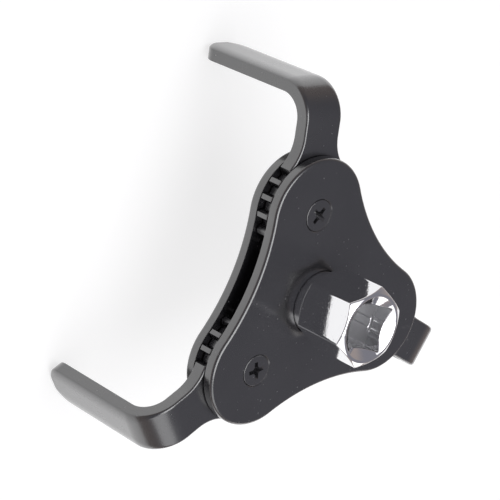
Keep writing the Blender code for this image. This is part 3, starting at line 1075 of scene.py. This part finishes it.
def socket_satin(name, look):
    """The dull wall of the square, which the plating hardly reaches."""
    made, tree, shader = new_material(name)
    place = object_place(tree)
    patches = use_group(tree, "mottle", place, Scale=200.0, Contrast=1.2)
    marks = use_group(tree, "scuff", place, Scale=700.0, Amount=0.35)
    darker = tuple(part * 0.8 for part in look.chrome)
    lighter = tuple(part * 0.98 for part in look.chrome)
    colour = mix_colour(tree, patches, darker, lighter)
    colour = mix_colour(tree, math_node(tree, "MULTIPLY", marks, 0.4), colour, tuple(look.chrome))
    tree.links.new(colour, shader.inputs["Base Color"])
    shader.inputs["Metallic"].default_value = 1.0
    rough = math_node(tree, "MULTIPLY_ADD", patches, 0.15, 0.3)
    tree.links.new(rough, shader.inputs["Roughness"])
    grain = use_group(tree, "grain", place, Scale=1200.0, Waviness=1.0)
    add_bump(tree, shader, grain, 0.02 * MM, 0.4)
    return made


def bare_steel(name, look):
    made, tree, shader = new_material(name)
    place = object_place(tree)
    patches = use_group(tree, "mottle", place, Scale=90.0, Contrast=1.5)
    scuffs = use_group(tree, "scuff", place, Scale=500.0, Amount=0.4)
    grease = tuple(part * 0.55 for part in look.steel)
    colour = mix_colour(tree, patches, grease, tuple(look.steel))
    colour = mix_colour(tree, math_node(tree, "MULTIPLY", scuffs, 0.4), colour, (0.7, 0.7, 0.7))
    tree.links.new(colour, shader.inputs["Base Color"])
    shader.inputs["Metallic"].default_value = 1.0
    rough = math_node(tree, "MULTIPLY_ADD", patches, 0.2, 0.25)
    tree.links.new(rough, shader.inputs["Roughness"])
    grain = use_group(tree, "grain", place, Scale=900.0, Waviness=1.0)
    add_bump(tree, shader, grain, 0.03 * MM, 0.3)
    return made


# Operators


class WRENCH_OT_plates(bpy.types.Operator):
    """Make the two lobed plates"""

    bl_idname = "wrench.plates"
    bl_label = "Plates"

    def execute(self, context):
        shape = context.scene.wrench_shape
        finish = black_coat("plate_coat", context.scene.wrench_look, 0.25, 0.3)
        front = front_plate_mesh(shape.edge_roll)
        piece = add_piece(
            "front_plate_look", front, "head", ["front_plate"], finish
        )
        even_normals(piece)
        rear = rear_plate_mesh(shape.edge_roll)
        piece = add_piece("rear_plate_look", rear, "head", ["rear_plate"], finish)
        even_normals(piece)
        return {"FINISHED"}


class WRENCH_OT_legs(bpy.types.Operator):
    """Make the three bent legs with their teeth"""

    bl_idname = "wrench.legs"
    bl_label = "Legs"

    def execute(self, context):
        shape = context.scene.wrench_shape
        finish = black_coat("leg_coat", context.scene.wrench_look, 0.27, 0.2)
        high = heights("leg_1")[1]
        low = high - LEG_THICKNESS
        pin_hole = turned(
            "pin_hole",
            [
                (0, high + CUT_MARGIN),
                (PIN_HOLE_RADIUS, high + CUT_MARGIN),
                (PIN_HOLE_RADIUS, low - CUT_MARGIN),
                (0, low - CUT_MARGIN),
            ],
            SMALL_TURN_STEPS,
        )
        bodies = ("leg_one", "leg_two", "leg_three")
        for index, body in enumerate(bodies):
            mesh = leg_mesh(index, low, high, shape)
            place = Matrix.Translation(pivot_place(index))
            mesh = cut_mesh(mesh, [(pin_hole, place)], f"leg_{index + 1}_look")
            piece = add_piece(
                f"leg_{index + 1}_look", mesh, body, [f"leg_{index + 1}"], finish
            )
            even_normals(piece)
        return {"FINISHED"}


class WRENCH_OT_screws(bpy.types.Operator):
    """Make the countersunk screws over the pivots"""

    bl_idname = "wrench.screws"
    bl_label = "Screws"

    def execute(self, context):
        finish = black_coat("screw_coat", context.scene.wrench_look, 0.25, 0.08)
        span = context.scene.wrench_shape.recess_span
        blank = screw_mesh(span)
        for index in range(LEG_COUNT):
            mesh = blank.copy()
            turn = Matrix.Rotation(math.radians(FIRST_SCREW_TURN + NEXT_SCREW_TURN * index), 4, "Z")
            mesh.transform(Matrix.Translation(pivot_place(index)) @ turn)
            name = f"front_screw_{index + 1}"
            add_piece(f"{name}_look", mesh, "head", [name], finish)
        return {"FINISHED"}


class WRENCH_OT_drive(bpy.types.Operator):
    """Make the plated hexagon with its square socket"""

    bl_idname = "wrench.drive"
    bl_label = "Drive"

    def execute(self, context):
        finish = chrome_plate("drive_chrome", context.scene.wrench_look)
        mesh = drive_mesh()
        piece = add_piece("drive_socket_look", mesh, "drive", ["drive_socket"], finish)
        piece.data.materials.append(socket_satin("socket_satin", context.scene.wrench_look))
        base = heights("front_plate")[1]
        mouth = heights("drive_socket")[1] - DETENT_FROM_END + DETENT_GROOVE_WIDTH
        for face in piece.data.polygons:
            if in_socket(face, base, mouth):
                face.material_index = 1
        return {"FINISHED"}


class WRENCH_OT_inner(bpy.types.Operator):
    """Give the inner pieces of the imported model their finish"""

    bl_idname = "wrench.inner"
    bl_label = "Inner pieces"

    def execute(self, context):
        steel = bare_steel("inner_steel", context.scene.wrench_look)
        names = ["sun_gear", "rear_washer", "retaining_ring"]
        names += [f"pivot_pin_{index + 1}" for index in range(LEG_COUNT)]
        for name in names:
            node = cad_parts[name]
            node.data.materials.clear()
            node.data.materials.append(steel)
        return {"FINISHED"}


def add_camera():
    back = Vector(
        (
            math.sin(CAMERA_AZIMUTH) * math.cos(CAMERA_ELEVATION),
            -math.cos(CAMERA_AZIMUTH) * math.cos(CAMERA_ELEVATION),
            math.sin(CAMERA_ELEVATION),
        )
    )
    data = bpy.data.cameras.new("camera")
    data.lens = CAMERA_LENS
    data.sensor_width = CAMERA_SENSOR
    data.clip_start = 0.01
    camera = bpy.data.objects.new("camera", data)
    upright = back.to_track_quat("Z", "Y").to_matrix().to_4x4()
    roll = Matrix.Rotation(CAMERA_ROLL, 4, "Z")
    place = Matrix.Translation(CAMERA_TARGET + back * CAMERA_DISTANCE)
    camera.matrix_world = place @ upright @ roll
    bpy.context.scene.collection.objects.link(camera)
    bpy.context.scene.camera = camera


def add_softbox(name, azimuth, elevation, width, height, brightness):
    """A softbox aimed at the tool's head; brightness is what a mirror shows of it."""
    aim = Vector((0, 0, HEAD_MIDDLE))
    way = Vector((*polar(math.cos(elevation), azimuth), math.sin(elevation)))
    data = bpy.data.lights.new(name, "AREA")
    data.shape = "RECTANGLE"
    data.size = width
    data.size_y = height
    data.energy = brightness * math.pi * width * height
    lamp = bpy.data.objects.new(name, data)
    lamp.location = aim + way * SOFTBOX_DISTANCE
    lamp.rotation_euler = way.to_track_quat("Z", "Y").to_euler()
    bpy.context.scene.collection.objects.link(lamp)
    return lamp


def add_world(stage):
    """A dim room that the camera sees as white."""
    world = bpy.data.worlds.new("room")
    world.use_nodes = True
    tree = world.node_tree
    tree.nodes.clear()
    room = tree.nodes.new("ShaderNodeBackground")
    place = tree.nodes.new("ShaderNodeTexCoord")
    parts = tree.nodes.new("ShaderNodeSeparateXYZ")
    tree.links.new(place.outputs["Generated"], parts.inputs[0])
    rise = smooth_step(tree, parts.outputs[2], CEILING_STARTS, CEILING_FULL)
    colour = mix_colour(tree, rise, tuple(stage.walls), tuple(stage.ceiling))
    tree.links.new(colour, room.inputs["Color"])
    white = tree.nodes.new("ShaderNodeBackground")
    white.inputs["Color"].default_value = (1, 1, 1, 1)
    path = tree.nodes.new("ShaderNodeLightPath")
    mix = tree.nodes.new("ShaderNodeMixShader")
    out = tree.nodes.new("ShaderNodeOutputWorld")
    tree.links.new(path.outputs["Is Camera Ray"], mix.inputs[0])
    tree.links.new(room.outputs[0], mix.inputs[1])
    tree.links.new(white.outputs[0], mix.inputs[2])
    tree.links.new(mix.outputs[0], out.inputs["Surface"])
    bpy.context.scene.world = world


def add_floor(stage):
    """A white floor: part of its white is its own, so the object's shadow stays light."""
    shape = bmesh.new()
    bmesh.ops.create_circle(shape, cap_ends=True, segments=FLOOR_STEPS, radius=FLOOR_RADIUS)
    mesh = bpy.data.meshes.new("floor")
    shape.to_mesh(mesh)
    shape.free()
    floor = bpy.data.objects.new("floor", mesh)
    floor.location.z = -FLOOR_GAP
    bpy.context.scene.collection.objects.link(floor)
    made, tree, shader = new_material("floor_white")
    shader.inputs["Base Color"].default_value = (*stage.floor, 1.0)
    shader.inputs["Roughness"].default_value = 0.9
    shader.inputs["Specular IOR Level"].default_value = 0.0
    shader.inputs["Emission Color"].default_value = (1, 1, 1, 1)
    path = tree.nodes.new("ShaderNodeLightPath")
    seen = math_node(tree, "MAXIMUM", path.outputs["Is Camera Ray"], path.outputs["Is Glossy Ray"])
    own_white = math_node(tree, "MULTIPLY", seen, FLOOR_OWN_WHITE)
    tree.links.new(own_white, shader.inputs["Emission Strength"])
    mesh.materials.append(made)


class WRENCH_OT_stage(bpy.types.Operator):
    """Make the floor, the lights and the camera"""

    bl_idname = "wrench.stage"
    bl_label = "Stage"

    def execute(self, context):
        stage = context.scene.wrench_stage
        add_world(stage)
        add_floor(stage)
        for name, azimuth, elevation, width, height, share in SOFTBOXES:
            way = (math.radians(azimuth), math.radians(elevation))
            add_softbox(name, *way, width, height, stage.softbox * share)
        add_camera()
        context.scene.view_settings.view_transform = "Standard"
        return {"FINISHED"}


class WRENCH_PT_panel(bpy.types.Panel):
    """Buttons and settings for the wrench"""

    bl_idname = "WRENCH_PT_panel"
    bl_label = "Oil filter wrench"
    bl_space_type = "VIEW_3D"
    bl_region_type = "UI"
    bl_category = "Wrench"

    def draw(self, context):
        layout = self.layout
        for settings, names in (
            (context.scene.wrench_shape, WrenchShape.__annotations__),
            (context.scene.wrench_look, WrenchLook.__annotations__),
            (context.scene.wrench_stage, WrenchStage.__annotations__),
        ):
            box = layout.box()
            for name in names:
                box.prop(settings, name)
        for operator in OPERATORS:
            layout.operator(operator.bl_idname)


GROUPS = (WrenchShape, WrenchLook, WrenchStage)
OPERATORS = (
    WRENCH_OT_plates,
    WRENCH_OT_legs,
    WRENCH_OT_screws,
    WRENCH_OT_drive,
    WRENCH_OT_inner,
    WRENCH_OT_stage,
)


def register():
    for item in (*GROUPS, *OPERATORS, WRENCH_PT_panel):
        bpy.utils.register_class(item)
    bpy.types.Scene.wrench_shape = PointerProperty(type=WrenchShape)
    bpy.types.Scene.wrench_look = PointerProperty(type=WrenchLook)
    bpy.types.Scene.wrench_stage = PointerProperty(type=WrenchStage)


def unregister():
    del bpy.types.Scene.wrench_stage
    del bpy.types.Scene.wrench_look
    del bpy.types.Scene.wrench_shape
    for item in reversed((*GROUPS, *OPERATORS, WRENCH_PT_panel)):
        bpy.utils.unregister_class(item)


def main():
    register()
    bpy.ops.wrench.plates()
    bpy.ops.wrench.legs()
    bpy.ops.wrench.screws()
    bpy.ops.wrench.drive()
    bpy.ops.wrench.inner()
    bpy.ops.wrench.stage()


if __name__ == "__main__":
    main()
